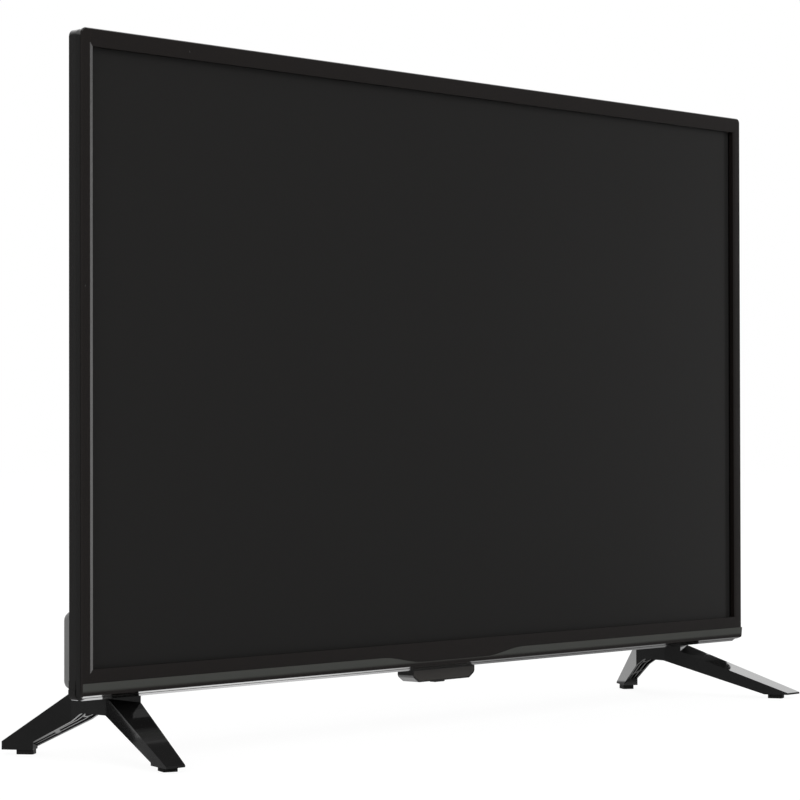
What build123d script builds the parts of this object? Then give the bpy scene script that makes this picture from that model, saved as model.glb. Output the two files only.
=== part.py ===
from build123d import *
import os

# Flat screen television of about 32 inches on two splayed V-shaped legs.
# X runs to the viewer's right, Y away from the viewer and Z up.
# The origin is on the floor, below the middle of the set and midway between toes and heels.
# A depth is measured backwards from the front face of the bezel, a height from the floor.

os.makedirs("parts", exist_ok=True)

# Driving sizes of the whole set, in millimetres
screen_width = 700.0
screen_height = 394.6
side_border = 9.3
top_border = 11.5
bottom_border = 18.0
floor_gap = 41.6
cover_drop = 2.0
cover_wall = 2.5
cover_lead = 1.0
toe_reach = 64.0
heel_reach = 107.0

# Clearances and the overrun of cuts
fit_gap = 0.3
slip_gap = 0.1
cut_over = 1.0

# Sides of the small round parts, which are drawn as polygons
round_sides = 8
head_sides = 12

# Places that follow from the driving sizes
front_y = (toe_reach - heel_reach) / 2
body_half = screen_width / 2 + side_border
bezel_bottom = floor_gap + cover_drop
screen_bottom = bezel_bottom + bottom_border
screen_top = screen_bottom + screen_height
bezel_top = screen_top + top_border


def facing(depth):
    """Upright drawing plane at a depth, seen from the front."""
    return Plane(origin=(0, front_y + depth, 0), x_dir=(1, 0, 0), z_dir=(0, -1, 0))


def sheet(left, right, bottom, top, depth, corner=0):
    """Rectangle on an upright plane, between two sides and two heights."""
    with BuildSketch(facing(depth)) as outline:
        with Locations(((left + right) / 2, (bottom + top) / 2)):
            if corner:
                RectangleRounded(right - left, top - bottom, corner)
            else:
                Rectangle(right - left, top - bottom)
    return outline.sketch


def front_to_back(block):
    """Edges of a block that run backwards, not those of its front or back face."""
    return block.edges().filter_by(lambda edge: abs((edge @ 1 - edge @ 0).Y) > slip_gap)


def frustum(near, far, front, back):
    """Block between two depths; near and far give half width, bottom and top of its ends."""
    near_half, near_bottom, near_top = near
    far_half, far_bottom, far_top = far
    with BuildPart() as block:
        with BuildSketch():
            with BuildLine():
                Polyline(
                    (-near_half, front_y + front),
                    (near_half, front_y + front),
                    (far_half, front_y + back),
                    (-far_half, front_y + back),
                    close=True,
                )
            make_face()
        extrude(amount=near_top + far_top)
        with BuildSketch(Plane.YZ):
            with BuildLine():
                Polyline(
                    (front_y + front, near_bottom),
                    (front_y + front, near_top),
                    (front_y + back, far_top),
                    (front_y + back, far_bottom),
                    close=True,
                )
            make_face()
        extrude(amount=near_half + far_half, both=True, mode=Mode.INTERSECT)
    return block.part


def save(piece, name):
    """Label a finished piece and write it to its own file."""
    piece.part.label = name
    export_step(piece.part, f"parts/{name}.step")


# Front bezel: a flat glossy frame with a narrow lip round the screen, over a proud lower chin
bezel_edge = 1.6
bezel_corner = 3.5
bezel_bevel = 0.5
seam_gap = 1.4
shoulder_inset = 1.2
skirt_wall = 1.2
skirt_depth = 6.0
lip_width = 2.6
lip_drop = 0.4
screen_sink = 4.2
panel_gap = 0.2
wall_thick = 1.6
chin_height = 9.4
chin_proud = 0.8
chin_lean = 0.6
chin_bevel = 1.5
wave_drop = 5.0
wave_half_top = 78.0
wave_half_bottom = 35.0

bezel_back = bezel_edge + seam_gap
skirt_inset = cover_lead + cover_wall + fit_gap
chin_top = bezel_bottom + chin_height
wave_bottom = chin_top - wave_drop
shoulder_bottom = bezel_bottom + shoulder_inset

with BuildPart() as chin:
    with BuildSketch(Plane.YZ):
        with BuildLine():
            Polyline(
                (front_y - chin_proud, chin_top),
                (front_y - chin_proud + chin_lean, bezel_bottom + chin_bevel),
                (front_y + bezel_back, bezel_bottom),
                (front_y + bezel_back, shoulder_bottom),
                (front_y + bezel_edge, shoulder_bottom),
                (front_y + bezel_edge, chin_top),
                close=True,
            )
        make_face()
    extrude(amount=body_half, both=True)
    extrude(
        sheet(-body_half, body_half, bezel_bottom, bezel_top, -chin_proud - cut_over, bezel_corner),
        amount=-(chin_proud + bezel_back + 2 * cut_over),
        mode=Mode.INTERSECT,
    )
    with BuildSketch(facing(-chin_proud - cut_over)):
        with BuildLine():
            left_wave = Spline(
                (-wave_half_top, chin_top), (-wave_half_bottom, wave_bottom), tangents=((1, 0), (1, 0))
            )
            low = Line(left_wave @ 1, (wave_half_bottom, wave_bottom))
            right_wave = Spline(low @ 1, (wave_half_top, chin_top), tangents=((1, 0), (1, 0)))
            Polyline(
                right_wave @ 1,
                (wave_half_top, chin_top + cut_over),
                (-wave_half_top, chin_top + cut_over),
                left_wave @ 0,
            )
        make_face()
    extrude(amount=-(chin_proud + bezel_edge + 2 * cut_over), mode=Mode.SUBTRACT)

with BuildPart() as front_bezel:
    extrude(
        sheet(-body_half, body_half, bezel_bottom + chin_bevel, bezel_top, 0, bezel_corner),
        amount=-bezel_edge,
    )
    chamfer(front_bezel.faces().sort_by(Axis.Y)[0].edges(), bezel_bevel)
    shoulder_half = body_half - shoulder_inset
    extrude(
        sheet(
            -shoulder_half,
            shoulder_half,
            shoulder_bottom,
            bezel_top - shoulder_inset,
            bezel_edge,
            bezel_corner,
        ),
        amount=-seam_gap,
    )
    # skirt that slips inside the rear cover
    skirt_half = body_half - skirt_inset
    skirt_bottom = bezel_bottom + skirt_inset
    skirt_top = bezel_top - skirt_inset
    extrude(sheet(-skirt_half, skirt_half, skirt_bottom, skirt_top, bezel_back), amount=-skirt_depth)
    skirt_inner = skirt_half - skirt_wall
    skirt_floor = skirt_bottom + skirt_wall
    skirt_ceiling = skirt_top - skirt_wall
    extrude(
        sheet(-skirt_inner, skirt_inner, skirt_floor, skirt_ceiling, bezel_back),
        amount=-(skirt_depth + cut_over),
        mode=Mode.SUBTRACT,
    )
    # wall round the opening, which reaches back to the screen
    extrude(
        sheet(
            -screen_width / 2 - wall_thick,
            screen_width / 2 + wall_thick,
            screen_bottom - wall_thick,
            screen_top + wall_thick,
            bezel_back,
        ),
        amount=-(screen_sink - panel_gap - bezel_back),
    )
    lip_half = screen_width / 2 + lip_width
    add(
        frustum(
            (lip_half, screen_bottom - lip_width, screen_top + lip_width),
            (screen_width / 2, screen_bottom, screen_top),
            0,
            lip_drop,
        ),
        mode=Mode.SUBTRACT,
    )
    extrude(
        sheet(-screen_width / 2, screen_width / 2, screen_bottom, screen_top, 0),
        amount=-(screen_sink + cut_over),
        mode=Mode.SUBTRACT,
    )
    add(chin.part)

save(front_bezel, "front_bezel")

# Screen panel and the plastic frame that clamps it
panel_side = 2.5
panel_foot = 6.0
panel_head = 3.5
panel_thick = 1.2
frame_gap = 0.45
frame_wall = 0.8
shelf_overlap = 0.6
shelf_thick = 1.3

panel_half = screen_width / 2 + panel_side
panel_front = screen_sink
panel_back = panel_front + panel_thick

with BuildPart() as lcd_panel:
    extrude(
        sheet(-panel_half, panel_half, screen_bottom - panel_foot, screen_top + panel_head, panel_front),
        amount=-panel_thick,
    )

save(lcd_panel, "lcd_panel")

# Backlight stack: films, diffuser plate, reflector, light strips and their steel pan
film_thick = 0.7
diffuser_thick = 1.5
pan_wall = 0.8
pan_flange = 7.4
pan_depth = 24.0
pan_run = 33.0
pan_foot_run = 43.0
reflector_thick = 0.4
strip_count = 3
strip_width = 14.0
strip_thick = 1.0
strip_end_gap = 17.55
lens_per_strip = 6
lens_radius = 6.5
lens_height = 6.0
lens_gap = 0.5
lens_slope = 2.0

frame_half = skirt_inner - frame_gap
frame_bottom = skirt_floor + frame_gap
frame_top = skirt_ceiling - frame_gap
stack_half = frame_half - frame_wall - slip_gap
stack_bottom = frame_bottom + frame_wall + slip_gap
stack_top = frame_top - frame_wall - slip_gap
film_front = panel_back + shelf_thick
diffuser_front = film_front + film_thick
pan_front = diffuser_front + diffuser_thick

with BuildPart() as panel_frame:
    extrude(
        sheet(-frame_half, frame_half, frame_bottom, frame_top, panel_front),
        amount=-(pan_front + pan_wall - panel_front),
    )
    extrude(
        sheet(
            -panel_half - slip_gap,
            panel_half + slip_gap,
            screen_bottom - panel_foot - slip_gap,
            screen_top + panel_head + slip_gap,
            panel_front - cut_over,
        ),
        amount=-(panel_thick + cut_over),
        mode=Mode.SUBTRACT,
    )
    shelf_half = screen_width / 2 + shelf_overlap
    extrude(
        sheet(
            -shelf_half,
            shelf_half,
            screen_bottom - shelf_overlap,
            screen_top + shelf_overlap,
            panel_front - cut_over,
        ),
        amount=-(pan_front + 2 * cut_over),
        mode=Mode.SUBTRACT,
    )
    extrude(
        sheet(
            -stack_half - slip_gap,
            stack_half + slip_gap,
            stack_bottom - slip_gap,
            stack_top + slip_gap,
            film_front,
        ),
        amount=-(pan_front + cut_over),
        mode=Mode.SUBTRACT,
    )

save(panel_frame, "panel_frame")

with BuildPart() as optical_films:
    extrude(sheet(-stack_half, stack_half, stack_bottom, stack_top, film_front), amount=-film_thick)

save(optical_films, "optical_films")

with BuildPart() as diffuser_plate:
    extrude(sheet(-stack_half, stack_half, stack_bottom, stack_top, diffuser_front), amount=-diffuser_thick)

save(diffuser_plate, "diffuser_plate")

tray_half = stack_half - pan_flange
tray_bottom = stack_bottom + pan_flange
tray_top = stack_top - pan_flange
floor_half = tray_half - pan_run
pan_floor_bottom = tray_bottom + pan_foot_run
pan_floor_top = tray_top - pan_run
pan_floor = pan_depth - pan_wall
strip_length = 2 * (floor_half - strip_end_gap)


def tray(inset, front, back):
    """Block that fills the pan to an inset from its inner faces, between two depths."""
    return frustum(
        (tray_half - inset, tray_bottom + inset, tray_top - inset),
        (floor_half - inset, pan_floor_bottom + inset, pan_floor_top - inset),
        front,
        back,
    )


pan_outside = tray(-pan_wall, pan_front, pan_depth)
pan_inside = tray(0, pan_front, pan_floor)

with BuildPart() as backlight_pan:
    extrude(sheet(-stack_half, stack_half, stack_bottom, stack_top, pan_front), amount=-pan_wall)
    add(pan_outside)
    add(pan_inside, mode=Mode.SUBTRACT)

save(backlight_pan, "backlight_pan")

strip_front = pan_floor - strip_thick
strip_rise = (pan_floor_top - pan_floor_bottom) / strip_count
strip_middle = (pan_floor_bottom + pan_floor_top) / 2
lens_pitch = strip_length / lens_per_strip

with BuildPart() as light_strips:
    with BuildSketch(facing(strip_front)):
        with Locations((0, strip_middle)):
            with GridLocations(0, strip_rise, 1, strip_count):
                Rectangle(strip_length, strip_width)
    extrude(amount=-strip_thick)

save(light_strips, "light_strips")

with BuildPart() as strip_lenses:
    with BuildSketch(facing(strip_front)):
        with Locations((0, strip_middle)):
            with GridLocations(lens_pitch, strip_rise, lens_per_strip, strip_count):
                RegularPolygon(lens_radius, round_sides)
    extrude(amount=lens_height)
    chamfer(strip_lenses.edges().group_by(Axis.Y)[0], lens_slope)

save(strip_lenses, "strip_lenses")

reflector_floor = strip_front - slip_gap
reflector_outside = tray(slip_gap, pan_front, reflector_floor)
reflector_inside = tray(slip_gap + reflector_thick, pan_front, reflector_floor - reflector_thick)

with BuildPart() as reflector_sheet:
    add(reflector_outside)
    add(reflector_inside, mode=Mode.SUBTRACT)
    with BuildSketch(facing(reflector_floor + cut_over)):
        with Locations((0, strip_middle)):
            with GridLocations(lens_pitch, strip_rise, lens_per_strip, strip_count):
                RegularPolygon(lens_radius + lens_gap, round_sides)
    extrude(amount=reflector_thick + 2 * cut_over, mode=Mode.SUBTRACT)

save(reflector_sheet, "reflector_sheet")

# Rear cover: a stepped rim, a shallow sloping back, a deep bar along the foot and a central
# housing for the electronics, with a recess for the sockets on each side of it
rim_front_lift = 1.8
rim_inset = 0.3
rim_corner = 5.0
rim_step = 3.6
rim_depth = 13.6
rim_bevel = 0.8
ledge_step = 0.4
ledge_heights = [12.9, 7.2]
back_inset = 3.5
back_depth = 36.0
back_side = 52.0
back_head = 45.0
back_foot = 30.0
back_corner = 20.0
bar_depth = 78.0
bar_side_front = 17.0
bar_side_back = 53.3
bar_height_front = 70.0
bar_height_back = 50.4
bar_corner = 6.0
bar_round = 5.5
bar_sink = 2.0
housing_depth = 66.0
housing_half = 205.0
housing_flare = 10.0
housing_bottom = 70.0
housing_over = 23.0
vesa_pitch = 100.0
vesa_over = 59.0
board_bottom = 104.0
board_top = 203.0
housing_corner = 12.0
housing_bevel = 5.0
recess_inner = 152.0
recess_side = 129.3
recess_bottom = 112.0
recess_top = 210.0
recess_depth = 29.0

cover_front = bezel_back
cover_top = bezel_top - rim_inset
vesa_height = board_top + vesa_over
housing_top = vesa_height + vesa_pitch / 2 + housing_over
recess_outer = body_half - recess_side

# Share of an outer rounding that the flat cut inside the cover's corner takes, which keeps the wall
hollow_share = 0.65


def tier(near, far, front, back, corner, inset):
    """Raised block of the cover, drawn in by an inset; its corners are rounded, or cut flat inside."""
    near_half, near_bottom, near_top = near
    far_half, far_bottom, far_top = far
    with BuildPart() as block:
        add(
            frustum(
                (near_half - inset, near_bottom + inset, near_top - inset),
                (far_half - inset, far_bottom + inset, far_top - inset),
                front,
                back - inset,
            )
        )
        if inset > 0:
            chamfer(front_to_back(block), corner * hollow_share)
        else:
            fillet(front_to_back(block), corner)
    return block


def cover_rim(inset):
    """Rim of the cover: a band that widens from the seam backwards, then straight sides."""
    half = body_half - rim_inset - inset
    near_half = body_half - cover_lead - inset
    near_bottom = floor_gap + rim_front_lift + inset
    corner = 0 if inset > 0 else rim_corner
    straight = sheet(-half, half, floor_gap + inset, cover_top - inset, cover_front + rim_step, corner)
    with BuildPart() as block:
        loft(
            [
                sheet(
                    -near_half,
                    near_half,
                    near_bottom,
                    bezel_top - cover_lead - inset,
                    cover_front,
                    corner,
                ),
                straight,
            ],
            ruled=True,
        )
        extrude(straight, amount=-(rim_depth - inset - cover_front - rim_step))
        if inset == 0:
            chamfer(block.faces().sort_by(Axis.Y)[-1].edges(), rim_bevel)
    return block.part


def cover_block(inset):
    """The cover's outer form, or with an inset of one wall the space inside it."""
    slope = tier(
        (body_half - back_inset, floor_gap + back_inset, cover_top - back_inset),
        (body_half - back_side, floor_gap + back_foot, cover_top - back_head),
        rim_depth - inset,
        back_depth,
        back_corner,
        inset,
    )
    bar = tier(
        (body_half - bar_side_front, floor_gap, floor_gap + bar_height_front),
        (body_half - bar_side_back, floor_gap, floor_gap + bar_height_back),
        rim_depth - inset - bar_sink,
        bar_depth,
        bar_corner,
        inset,
    )
    housing = tier(
        (housing_half + housing_flare, housing_bottom, housing_top + housing_flare),
        (housing_half, housing_bottom, housing_top),
        rim_depth,
        housing_depth,
        housing_corner,
        inset,
    )
    with bar:
        rim = bar.faces().sort_by(Axis.Y)[-1].edges()
        if inset > 0:
            chamfer(rim, bar_round * hollow_share)
        else:
            fillet(rim, bar_round)
    with housing:
        rim = housing.faces().sort_by(Axis.Y)[-1].edges()
        chamfer(rim, housing_bevel * hollow_share if inset > 0 else housing_bevel)
    with BuildPart() as block:
        add([cover_rim(inset), slope.part, bar.part, housing.part])
    return block.part


cover_outside = cover_block(0)
cover_inside = cover_block(cover_wall)

# Sound slots, air slots and fixing holes of the cover
slot_width = 2.8
slot_pitch = 7.5
sound_slots = 9
sound_slot_length = 26.0
speaker_inset = 113.3
speaker_depth = 46.0
head_slots = 16
head_slot_rows = 2
head_slot_length = 19.0
head_slot_rise = 24.0
head_slot_pitch = 15.0
head_slot_gap = 38.0
belly_slots = 12
belly_slot_length = 30.0
belly_slot_depth = 52.0
vesa_hole_radius = 4.2
vesa_boss_radius = 9.0
vesa_boss_rise = 1.5
screw_sites_share = [-1, -0.36, 0.36, 1]
screw_inset = 73.3
screw_drop = 60.7
screw_low = 150.0
screw_hole_radius = 1.7
screw_well_radius = 4.0
screw_well_sink = 1.2
stand_screw_inset = 54.9
stand_screw_depths = [34.0, 52.0]
stand_boss_radius = 4.5
stand_boss_height = 18.0
stand_screw_radius = 2.0
thread_gap = 0.05

speaker_x = body_half - speaker_inset
head_slot_height = housing_top + head_slot_gap
screw_half = body_half - screw_inset
screw_top = bezel_top - screw_drop
stand_screw_x = body_half - stand_screw_inset
cover_screw_sites = [(share * screw_half, screw_top) for share in screw_sites_share]
cover_screw_sites += [(-screw_half, screw_low), (screw_half, screw_low)]
stand_screw_sites = [
    (side * stand_screw_x, front_y + depth) for side in (-1, 1) for depth in stand_screw_depths
]
vesa_spots = [(x * vesa_pitch / 2, vesa_height + z * vesa_pitch / 2) for x in (-1, 1) for z in (-1, 1)]

# Circuit boards and the sockets on their outer edges, which look into the recesses
pan_back = pan_depth
standoff_length = 7.0
board_thick = 1.6
board_edge_gap = 1.5
hdmi_rises = [43.0, 60.0]
usb_rise = 26.0
jack_rise = 11.0
aerial_rise = 81.0
inlet_rise = 40.0
hdmi_width = 15.0
hdmi_thick = 6.2
usb_width = 13.1
usb_thick = 5.9
jack_radius = 3.6
aerial_radius = 4.8
tuner_thick = 12.0
tuner_left = 104.0
inlet_width = 20.0
inlet_thick = 13.0
cutout_gap = 0.4

board_front = pan_back + standoff_length
board_back = board_front + board_thick
board_edge = recess_inner - cover_wall - board_edge_gap
socket_face = recess_inner - fit_gap
hdmi_places = [(front_y + board_back + hdmi_thick / 2, recess_bottom + rise) for rise in hdmi_rises]
usb_place = (front_y + board_back + usb_thick / 2, recess_bottom + usb_rise)
jack_place = (front_y + board_back + jack_radius, recess_bottom + jack_rise)
aerial_place = (front_y + board_back + tuner_thick / 2, recess_bottom + aerial_rise)
inlet_place = (front_y + board_back + inlet_thick / 2, recess_bottom + inlet_rise)

with BuildPart() as cover_void:
    add(cover_inside)
    # the rim's inner ledge behind the bezel's lower edge
    extrude(
        sheet(
            -body_half,
            body_half,
            floor_gap,
            bezel_bottom + skirt_inset - fit_gap,
            cover_front - cut_over,
        ),
        amount=-(rim_depth + cut_over),
        mode=Mode.SUBTRACT,
    )
    for side in (-1, 1):
        near = side * (recess_inner - cover_wall)
        far = side * (recess_outer + cover_wall)
        extrude(
            sheet(
                min(near, far),
                max(near, far),
                recess_bottom - cover_wall,
                recess_top + cover_wall,
                recess_depth - cover_wall,
            ),
            amount=-bar_depth,
            mode=Mode.SUBTRACT,
        )
    # bosses that the stand screws bite into
    with BuildSketch(Plane.XY.offset(floor_gap)):
        with Locations(*stand_screw_sites):
            RegularPolygon(stand_boss_radius, round_sides)
    extrude(amount=stand_boss_height, mode=Mode.SUBTRACT)

with BuildPart() as rear_cover:
    add(cover_outside)
    # two shallow ledges low on the sides, where the foot of the set stands proud
    for step, rise in enumerate(ledge_heights):
        ledge_half = body_half - rim_inset + (step + 1) * ledge_step
        with BuildSketch(facing(cover_front + rim_step)) as foot_band:
            with Locations((0, floor_gap + rise / 2)):
                Rectangle(2 * ledge_half, rise)
            fillet(foot_band.vertices().group_by(Axis.Y)[0], rim_corner)
        extrude(amount=-(rim_depth - rim_bevel - cover_front - rim_step))
    # recesses that give the plugs room
    for side in (-1, 1):
        near = side * recess_inner
        far = side * recess_outer
        extrude(
            sheet(min(near, far), max(near, far), recess_bottom, recess_top, recess_depth),
            amount=-bar_depth,
            mode=Mode.SUBTRACT,
        )
    # low bosses round the wall-mount holes
    with BuildSketch(facing(housing_depth)):
        with Locations(*vesa_spots):
            RegularPolygon(vesa_boss_radius, head_sides)
    extrude(amount=-vesa_boss_rise)
    add(cover_void.part, mode=Mode.SUBTRACT)
    # wall-mount holes
    with BuildSketch(facing(housing_depth - cover_wall - cut_over)):
        with Locations(*vesa_spots):
            Circle(vesa_hole_radius)
    extrude(amount=-(cover_wall + vesa_boss_rise + 2 * cut_over), mode=Mode.SUBTRACT)
    # screw wells and screw holes
    with BuildSketch(facing(back_depth - screw_well_sink)):
        with Locations(*cover_screw_sites):
            RegularPolygon(screw_well_radius, head_sides)
    extrude(amount=-(screw_well_sink + cut_over), mode=Mode.SUBTRACT)
    with BuildSketch(facing(back_depth - cover_wall - cut_over)):
        with Locations(*cover_screw_sites):
            RegularPolygon(screw_hole_radius, round_sides)
    extrude(amount=-(cover_wall + 2 * cut_over), mode=Mode.SUBTRACT)
    with BuildSketch(Plane.XY.offset(floor_gap - cut_over)):
        with Locations(*stand_screw_sites):
            RegularPolygon(stand_screw_radius + thread_gap, round_sides)
    extrude(amount=stand_boss_height, mode=Mode.SUBTRACT)
    # sound slots under each speaker and air slots under the housing
    with BuildSketch(Plane.XY.offset(floor_gap - cut_over)):
        with Locations((-speaker_x, front_y + speaker_depth), (speaker_x, front_y + speaker_depth)):
            with GridLocations(slot_pitch, 0, sound_slots, 1):
                Rectangle(slot_width, sound_slot_length)
        with Locations((0, front_y + belly_slot_depth)):
            with GridLocations(slot_pitch, 0, belly_slots, 1):
                Rectangle(slot_width, belly_slot_length)
    extrude(amount=cover_wall + 2 * cut_over, mode=Mode.SUBTRACT)
    # two rows of air slots above the housing
    with BuildSketch(facing(back_depth - cover_wall - cut_over)):
        with Locations((0, head_slot_height)):
            with GridLocations(head_slot_pitch, head_slot_rise, head_slots, head_slot_rows):
                Rectangle(slot_width, head_slot_length)
    extrude(amount=-(cover_wall + 2 * cut_over), mode=Mode.SUBTRACT)
    # cut-outs for the sockets in the right recess
    with BuildSketch(Plane.YZ.offset(recess_inner - cover_wall - cut_over)):
        with Locations(*hdmi_places):
            Rectangle(hdmi_thick + 2 * cutout_gap, hdmi_width + 2 * cutout_gap)
        with Locations(usb_place):
            Rectangle(usb_thick + 2 * cutout_gap, usb_width + 2 * cutout_gap)
        with Locations(jack_place):
            RegularPolygon(jack_radius + cutout_gap, head_sides)
        with Locations(aerial_place):
            RegularPolygon(aerial_radius + cutout_gap, head_sides)
    extrude(amount=cover_wall + 2 * cut_over, mode=Mode.SUBTRACT)
    # cut-out for the mains inlet in the left recess
    with BuildSketch(Plane.YZ.offset(-recess_inner - cut_over)):
        with Locations(inlet_place):
            Rectangle(inlet_thick + 2 * cutout_gap, inlet_width + 2 * cutout_gap)
    extrude(amount=cover_wall + 2 * cut_over, mode=Mode.SUBTRACT)

save(rear_cover, "rear_cover")

# Legs: hollow plastic Vs that splay outwards, ribbed inside and screwed up into the cover
toe_outer_inset = 11.5
toe_inner_inset = 27.9
seat_outer_inset = 43.9
seat_front_inset = 69.3
seat_back_inset = 62.7
heel_outer_inset = 20.1
heel_inner_inset = 27.3
heel_skew = 5.7
seat_front = 26.4
seat_back = 59.8
toe_top = 4.6
heel_top = 4.2
slope_end = 28.0
step_inset = 63.8
step_depth = 14.6
step_run = 16.0
step_round = 7.5
step_length = 20.0
arch_toe = -47.0
arch_front = 27.0
arch_back = 50.4
arch_heel = 91.4
arch_height = 28.4
arch_round = 5.0
leg_wall = 2.0
leg_roof = 2.2
rib_shares = [0.34, 0.66]
rib_thick = 1.4
rib_recess = 0.7
brace_inset = 44.6
brace_depth = 73.5
brace_thick = 3.0
well_radius = 4.4
well_wall = 1.3
screw_grip = 4.6
screw_gap = 0.2
pad_height = 3.2
pad_length = 11.5
pad_cut = 1.0
toe_pad_width = 9.6
heel_pad_width = 9.0
toe_pad_inset = 25.3
toe_pad_depth = -51.0
heel_pad_inset = 33.4
heel_pad_depth = 92.0
toe_splay = 22.0
heel_splay = 34.0
block_margin = 0.7
block_length = 30.0
block_width = 26.0

pad_sites = [
    (Location((body_half - toe_pad_inset, front_y + toe_pad_depth), toe_splay), toe_pad_width),
    (Location((body_half - heel_pad_inset, front_y + heel_pad_depth), 180 - heel_splay), heel_pad_width),
]
right_screw_sites = [place for place in stand_screw_sites if place[0] > 0]


def leg_line(share):
    """Points along the right leg from toe to heel, at a share of its width from the outer side."""
    outer = [
        (toe_outer_inset, -toe_reach),
        (seat_outer_inset, seat_front),
        (seat_outer_inset, seat_back),
        (heel_outer_inset, heel_reach - heel_skew),
    ]
    inner = [
        (toe_inner_inset, -toe_reach),
        (seat_front_inset, seat_front),
        (seat_back_inset, seat_back),
        (heel_inner_inset, heel_reach),
    ]
    return [
        (body_half - far - (near - far) * share, front_y + far_depth + (near_depth - far_depth) * share)
        for (far, far_depth), (near, near_depth) in zip(outer, inner)
    ]


def slope_height(depth):
    """Height of the front leg's sloping top at a depth."""
    return toe_top + (floor_gap - toe_top) * (depth + toe_reach) / (slope_end + toe_reach)


def below_roof(drop):
    """Block that fills the space below the leg's top line, lowered by a drop."""
    with BuildPart() as block:
        with BuildSketch(Plane.YZ):
            with BuildLine():
                Polyline(
                    (front_y - toe_reach, 0),
                    (front_y - toe_reach, toe_top - drop),
                    (front_y + slope_end, floor_gap - drop),
                    (front_y + seat_back, floor_gap - drop),
                    (front_y + heel_reach, heel_top - drop),
                    (front_y + heel_reach, 0),
                    close=True,
                )
            make_face()
        extrude(amount=body_half)
    return block.part


def arch_space(rise):
    """Block that fills the arch between toe and heel, raised by a rise, clear of the feet."""
    with BuildPart() as block:
        with BuildSketch(Plane.YZ) as opening:
            with BuildLine():
                Polyline(
                    (front_y + arch_toe, 0),
                    (front_y + arch_toe, pad_height + rise),
                    (front_y + arch_front, arch_height + rise),
                    (front_y + arch_back, arch_height + rise),
                    (front_y + arch_heel, pad_height + rise),
                    (front_y + arch_heel, 0),
                    close=True,
                )
            make_face()
            fillet(opening.vertices().group_by(Axis.Y)[-1], arch_round)
        extrude(amount=body_half)
        add(foot_blocks.part, mode=Mode.SUBTRACT)
    return block.part


with BuildPart() as foot_blocks:
    with BuildSketch():
        for site, width in pad_sites:
            with Locations(site):
                with Locations((0, pad_length / 2 + block_margin)):
                    Rectangle(block_width, block_length, align=(Align.CENTER, Align.MAX))
    extrude(amount=floor_gap)

with BuildPart() as ribs:
    with BuildSketch():
        for share in rib_shares:
            with BuildLine():
                Polyline(*leg_line(share))
            trace(line_width=rib_thick)
        with Locations(Location((body_half - brace_inset, front_y + brace_depth), 180 - heel_splay)):
            Rectangle(block_width, brace_thick)
        with Locations(*right_screw_sites):
            RegularPolygon(well_radius + well_wall, head_sides)
    extrude(amount=floor_gap)
    add(arch_space(rib_recess), mode=Mode.SUBTRACT)

with BuildPart() as leg_hollow:
    with BuildSketch():
        with BuildLine():
            Polyline(*leg_line(0), *reversed(leg_line(1)), close=True)
        make_face()
        offset(amount=-leg_wall, mode=Mode.REPLACE)
    extrude(amount=floor_gap)
    add(below_roof(leg_roof), mode=Mode.INTERSECT)
    add(foot_blocks.part, mode=Mode.SUBTRACT)
    add(ribs.part, mode=Mode.SUBTRACT)

# the step where the slope of the front leg turns up to the seat, square to the leg's own line
step_forward = Vector(0, 1, 0).rotate(Axis.Z, toe_splay)
step_foot = Vector(body_half - step_inset, front_y + step_depth, 0)
step_start = step_foot - step_forward * step_run

with BuildPart() as leg_roof_block:
    add(below_roof(0))
    step_plane = Plane(
        origin=step_foot, x_dir=step_forward, z_dir=Vector(1, 0, 0).rotate(Axis.Z, toe_splay)
    )
    with BuildSketch(step_plane) as step:
        with BuildLine():
            Polyline(
                (-step_run, 0),
                (-step_run, slope_height(step_start.Y - front_y)),
                (0, slope_height(step_depth)),
                (0, floor_gap),
                (step_length, floor_gap),
                (step_length, 0),
                close=True,
            )
        make_face()
        fillet(step.vertices().sort_by_distance(step_foot + Vector(0, 0, floor_gap))[1], step_round)
    extrude(amount=step_inset, both=True)

with BuildPart() as stand_right:
    with BuildSketch(Plane.XY.offset(pad_height)):
        with BuildLine():
            Polyline(*leg_line(0), *reversed(leg_line(1)), close=True)
        make_face()
    extrude(amount=floor_gap - pad_height)
    add(leg_roof_block.part, mode=Mode.INTERSECT)
    add(arch_space(0), mode=Mode.SUBTRACT)
    add(leg_hollow.part, mode=Mode.SUBTRACT)
    with BuildSketch():
        with Locations(*right_screw_sites):
            RegularPolygon(well_radius, head_sides)
    extrude(amount=floor_gap - screw_grip, mode=Mode.SUBTRACT)
    with BuildSketch():
        with Locations(*right_screw_sites):
            RegularPolygon(stand_screw_radius + screw_gap, round_sides)
    extrude(amount=floor_gap + cut_over, mode=Mode.SUBTRACT)

save(stand_right, "stand_right")

with BuildPart() as stand_left:
    mirror(stand_right.part, about=Plane.YZ)

save(stand_left, "stand_left")

with BuildPart() as foot_pads:
    with BuildSketch() as pads:
        for site, width in pad_sites:
            with Locations(site):
                Rectangle(width, pad_length)
        mirror(about=Plane.YZ)
        chamfer(pads.vertices(), pad_cut)
    extrude(amount=pad_height)

save(foot_pads, "foot_pads")

# Screws that hold the legs
stand_head_radius = 3.8
stand_head_height = 2.6
stand_screw_reach = 12.4

with BuildPart() as stand_screws:
    with BuildSketch(Plane.XY.offset(floor_gap - screw_grip)):
        with Locations(*stand_screw_sites):
            RegularPolygon(stand_head_radius, head_sides)
    extrude(amount=-stand_head_height)
    with BuildSketch(Plane.XY.offset(floor_gap - screw_grip)):
        with Locations(*stand_screw_sites):
            RegularPolygon(stand_screw_radius, round_sides)
    extrude(amount=screw_grip + stand_screw_reach)

save(stand_screws, "stand_screws")

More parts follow.
